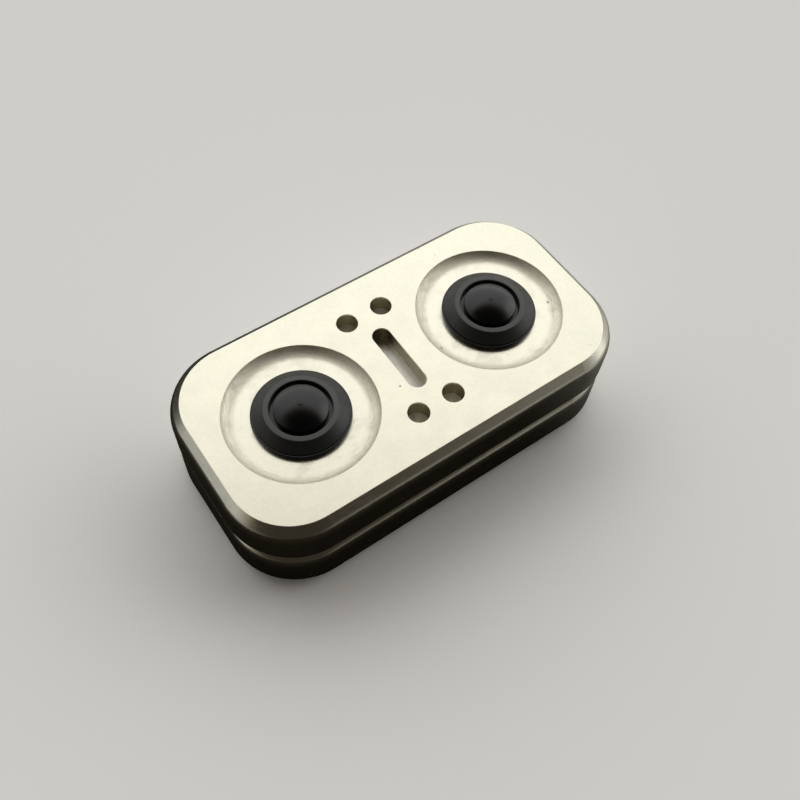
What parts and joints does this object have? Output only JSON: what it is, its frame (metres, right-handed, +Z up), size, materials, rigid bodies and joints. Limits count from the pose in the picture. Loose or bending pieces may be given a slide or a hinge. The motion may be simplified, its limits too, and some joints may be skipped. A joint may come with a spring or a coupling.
{
  "type": "magnetic push slider",
  "caption": "Palm-sized two-plate magnetic push slider: the top plate slides along the bottom one against clicks, and has sprung domed push buttons in thumb dishes.",
  "frame": {"origin": "middle of the resting face, under the middle of the plates", "axes": "+X along the sliding direction (the long way), +Y across the plates, +Z up, out of the face with the buttons"},
  "size_m": [0.0498, 0.0258, 0.015],
  "materials": {
    "plate_metal": "satin bead-blasted pale nickel alloy, with fine pits and handling marks",
    "track_steel": "ground and brushed along the slide",
    "screw_steel": "black oxide, oiled",
    "magnet_plating": "bright nickel plate",
    "glide_plastic": "waxy low-friction plastic",
    "pin_steel": "ground steel",
    "bezel_plastic": "matte black moulding",
    "seal_rubber": "dull black rubber",
    "base_plastic": "natural moulding",
    "dome_brass": "rolled spring brass",
    "cap_plastic": "smooth black moulding with a soft sheen"
  },
  "bodies": {
    "lower": {"lower_plate": "plate_metal", "lower_track_plate": "track_steel", "lower_track_screws": "screw_steel", "lower_magnets_front": "magnet_plating", "lower_magnets_back": "magnet_plating", "glide_strip_front": "glide_plastic", "glide_strip_back": "glide_plastic"},
    "upper": {"upper_plate": "plate_metal", "upper_track_plate": "track_steel", "upper_track_screws": "screw_steel", "upper_magnets_front": "magnet_plating", "upper_magnets_back": "magnet_plating", "guide_pin_left": "pin_steel", "guide_pin_right": "pin_steel", "button_collar_left": "cap_plastic", "button_collar_right": "cap_plastic", "collar_seal_left": "seal_rubber", "collar_seal_right": "seal_rubber", "retaining_clip_left": "pin_steel", "retaining_clip_right": "pin_steel", "bezel_left": "bezel_plastic", "bezel_right": "bezel_plastic", "switch_base_left": "base_plastic", "switch_base_right": "base_plastic", "snap_dome_left": "dome_brass", "snap_dome_right": "dome_brass", "button_spring_left": "pin_steel", "button_spring_right": "pin_steel"},
    "button_left": {"button_cap_left": "cap_plastic"},
    "button_right": {"button_cap_right": "cap_plastic"}
  },
  "joints": [
    {"name": "plate_slide", "type": "slide", "parent": "lower", "child": "upper", "axis": [1, 0, 0], "range_m": [-0.01, 0.01]},
    {"name": "button_left_press", "type": "slide", "parent": "upper", "child": "button_left", "axis": [0, 0, -1], "range_m": [0, 0.0009], "stiffness_N_per_m": 900, "springref_m": -0.0006, "deforming": ["button_spring_left", "snap_dome_left"]},
    {"name": "button_right_press", "type": "slide", "parent": "upper", "child": "button_right", "axis": [0, 0, -1], "range_m": [0, 0.0009], "stiffness_N_per_m": 900, "springref_m": -0.0006, "deforming": ["button_spring_right", "snap_dome_right"]}
  ]
}
